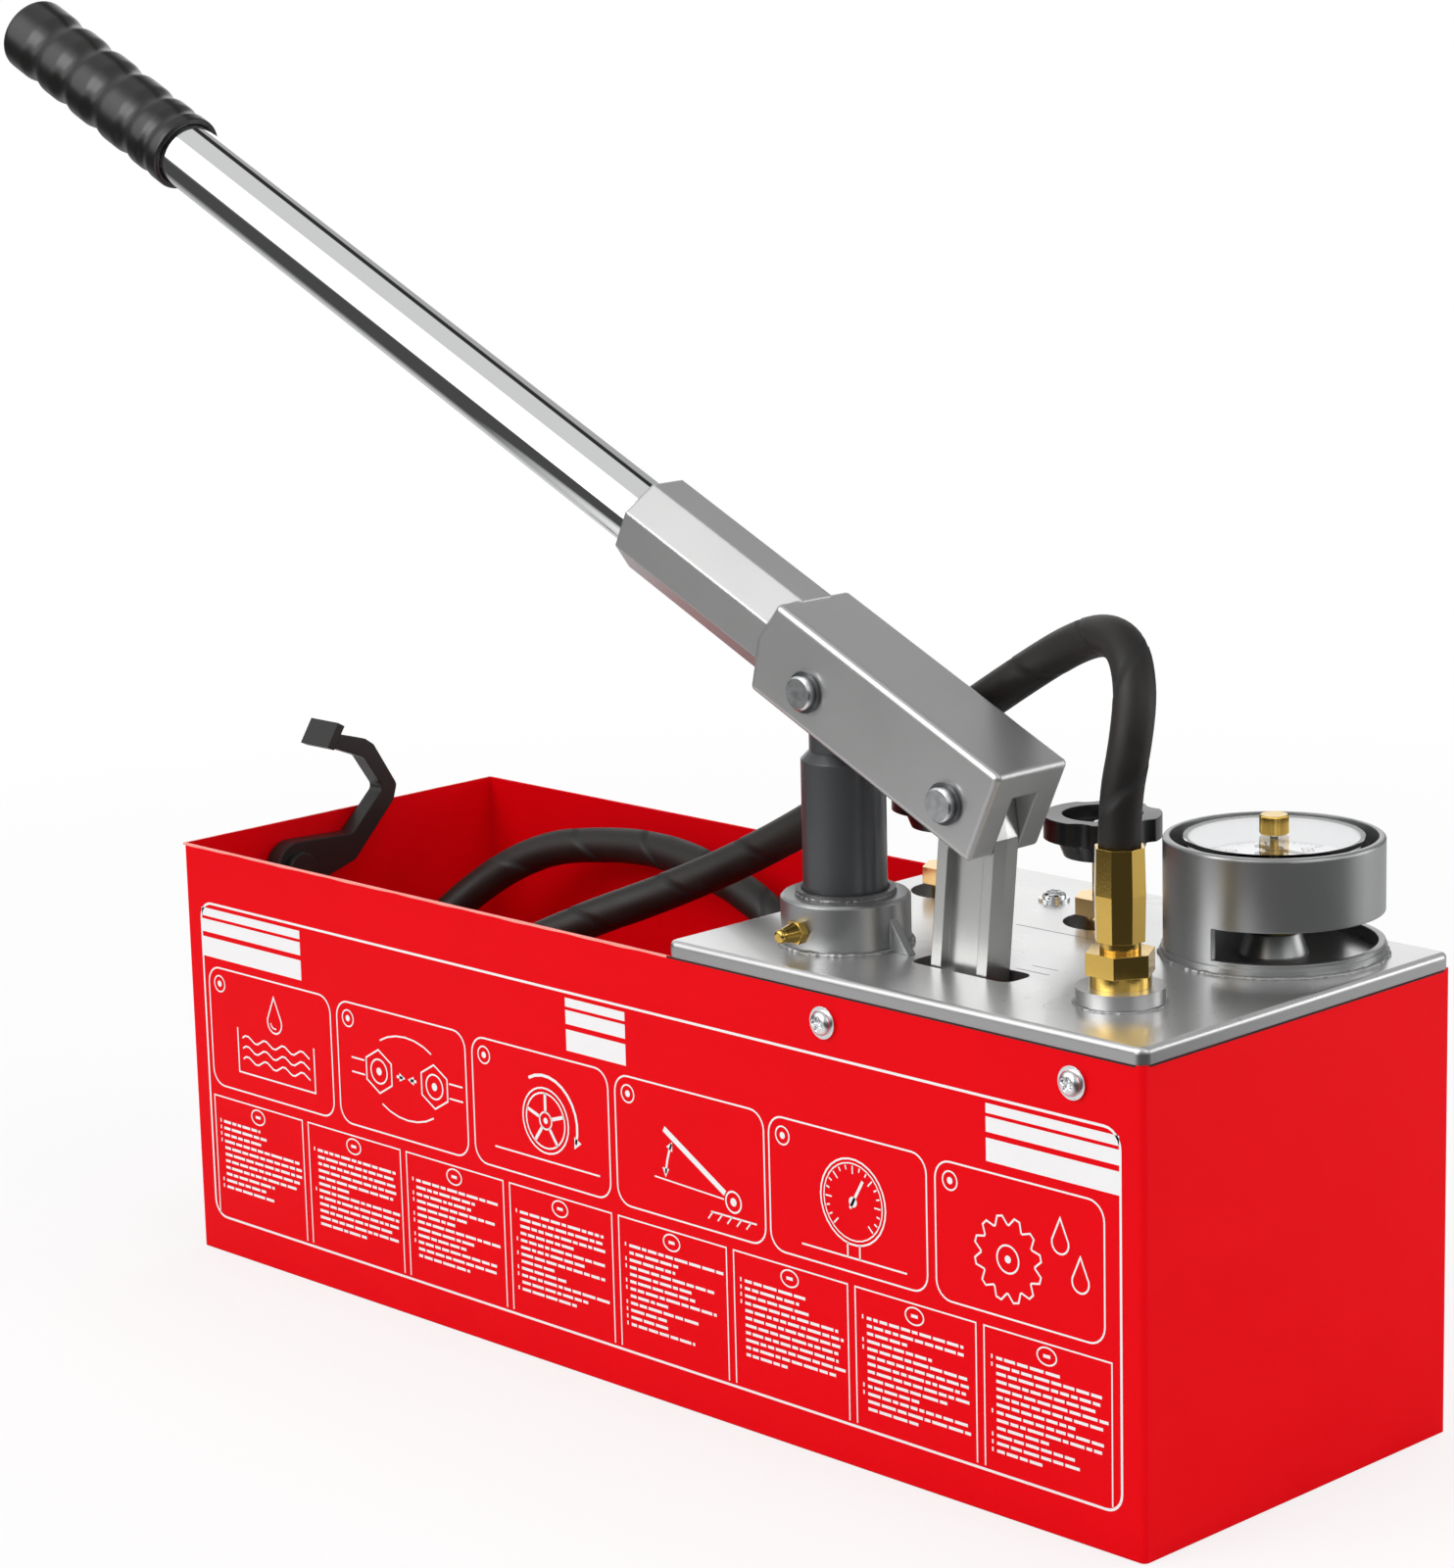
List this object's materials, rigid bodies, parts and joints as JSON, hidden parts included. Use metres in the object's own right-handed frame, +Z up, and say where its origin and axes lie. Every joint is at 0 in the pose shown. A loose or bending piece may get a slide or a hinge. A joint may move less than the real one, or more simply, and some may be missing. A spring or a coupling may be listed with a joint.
{
  "type": "hydrostatic test pump",
  "caption": "Hand-operated pump for pressure testing pipework, on an open red water tank, with a long lever, a gauge in a guard ring, star-knob valves and a cloth-wrapped hose.",
  "frame": {"origin": "middle of the tank's base, on the floor", "axes": "+X along the tank towards the gauge's end, -Y out of the tank's printed front, +Z up"},
  "size_m": [0.6588, 0.1772, 0.5178],
  "materials": {
    "red_coat": "satin red powder coat",
    "silver_paint": "glossy silver-grey paint",
    "grey_casting": "silver-grey painted casting",
    "plain_steel": "plain steel",
    "dark_steel": "dark satin plunger steel",
    "bright_steel": "polished steel ball",
    "pipe_steel": "drawn steel tube",
    "zinc": "bright zinc plating",
    "chrome_tube": "chrome-plated tube",
    "brass": "turned brass",
    "packing_rubber": "black packing rubber",
    "grip_rubber": "ribbed black rubber",
    "hose_rubber": "cloth-wrapped black rubber hose",
    "black_plastic": "moulded black plastic",
    "black_case": "black gauge case",
    "dial_white": "white printed dial",
    "hand_black": "black hand",
    "clear_lens": "clear plastic lens",
    "hook_black": "satin black bar"
  },
  "bodies": {
    "base": {"tank": "red_coat", "pump_plate": "silver_paint", "plug_welds": "silver_paint", "screw_washers": "zinc", "pan_screws": "zinc", "cylinder_collar": "silver_paint", "grease_nipple": "brass", "cylinder_barrel": "plain_steel", "cylinder_foot": "plain_steel", "plunger_packing": "packing_rubber", "plunger_wiper": "packing_rubber", "link_bracket": "plain_steel", "valve_block": "plain_steel", "release_gland_nut": "brass", "shutoff_gland_nut": "brass", "gauge_guard": "silver_paint", "gauge_boss": "silver_paint", "gauge_stem": "brass", "gauge_case": "black_case", "gauge_dial": "dial_white", "gauge_lens": "clear_lens", "hose_boss": "silver_paint", "hose_union": "brass", "hose_nut": "brass", "hose_neck": "brass", "hose_ferrule": "brass", "pressure_hose": "hose_rubber", "hose_end_ferrule": "brass", "hose_end_neck": "brass", "hose_end_nut": "brass", "delivery_pipe": "pipe_steel", "riser_pipe": "pipe_steel", "outlet_pipe": "pipe_steel", "inlet_valve_body": "brass", "delivery_valve_body": "brass", "suction_strainer": "brass", "hook_washer": "zinc", "hook_pin": "zinc"},
    "plunger": {"plunger_tube": "dark_steel", "plunger_eye": "dark_steel"},
    "lever": {"lever_head": "grey_casting", "lever_tube": "chrome_tube", "lever_grip": "grip_rubber", "plunger_pin": "zinc", "link_pin": "zinc", "pin_clips": "zinc"},
    "link_arm": {"link": "grey_casting", "lower_link_pin": "zinc"},
    "release_valve": {"release_knob": "black_plastic", "release_valve_stem": "brass", "release_knob_screw": "zinc"},
    "shutoff_valve": {"shutoff_knob": "black_plastic", "shutoff_valve_stem": "brass", "shutoff_knob_screw": "zinc"},
    "pointer": {"gauge_needle": "hand_black"},
    "peak_pointer": {"reset_hand": "hand_black", "reset_knob": "brass"},
    "hook": {"lever_hook": "hook_black"},
    "suction_ball": {"inlet_ball": "bright_steel"},
    "pressure_ball": {"delivery_ball": "bright_steel"}
  },
  "joints": [
    {"name": "plunger_slide", "type": "slide", "parent": "base", "child": "plunger", "axis": [0, 0, 1], "range_m": [-0.0408, 0.021]},
    {"name": "lever_hinge", "type": "hinge", "parent": "plunger", "child": "lever", "pos_m": [0.0835, -0.043, 0.27643], "axis": [0, 1, 0], "range_deg": [-33.5, 17]},
    {"name": "link_hinge", "type": "hinge", "parent": "lever", "child": "link_arm", "pos_m": [0.15093, -0.043, 0.24498], "axis": [0, 1, 0], "range_deg": [-22, 42]},
    {"name": "release_turn", "type": "hinge", "parent": "base", "child": "release_valve", "pos_m": [0.059, 0.0395, 0.2], "axis": [0, 0, 1], "range_deg": [0, 540]},
    {"name": "shutoff_turn", "type": "hinge", "parent": "base", "child": "shutoff_valve", "pos_m": [0.136, 0.0395, 0.2], "axis": [0, 0, 1], "range_deg": [0, 540]},
    {"name": "pointer_turn", "type": "hinge", "parent": "base", "child": "pointer", "pos_m": [0.212, 0.0445, 0.215], "axis": [0, 0, -1], "range_deg": [0, 270]},
    {"name": "peak_pointer_turn", "type": "hinge", "parent": "base", "child": "peak_pointer", "pos_m": [0.212, 0.0445, 0.22], "axis": [0, 0, -1], "range_deg": [0, 270]},
    {"name": "hook_swing", "type": "hinge", "parent": "base", "child": "hook", "pos_m": [-0.2532, -0.0325, 0.156], "axis": [1, 0, 0], "range_deg": [0, 57]},
    {"name": "suction_ball_lift", "type": "slide", "parent": "base", "child": "suction_ball", "axis": [0, 0, 1], "range_m": [0, 0.0025]},
    {"name": "pressure_ball_lift", "type": "slide", "parent": "base", "child": "pressure_ball", "axis": [0, 0, 1], "range_m": [0, 0.0025]}
  ],
  "couplings": [
    {"joint": "plunger_slide", "follows": "lever_hinge", "m_per_rad": 0.0695},
    {"joint": "link_hinge", "follows": "lever_hinge", "ratio": -1.24}
  ]
}
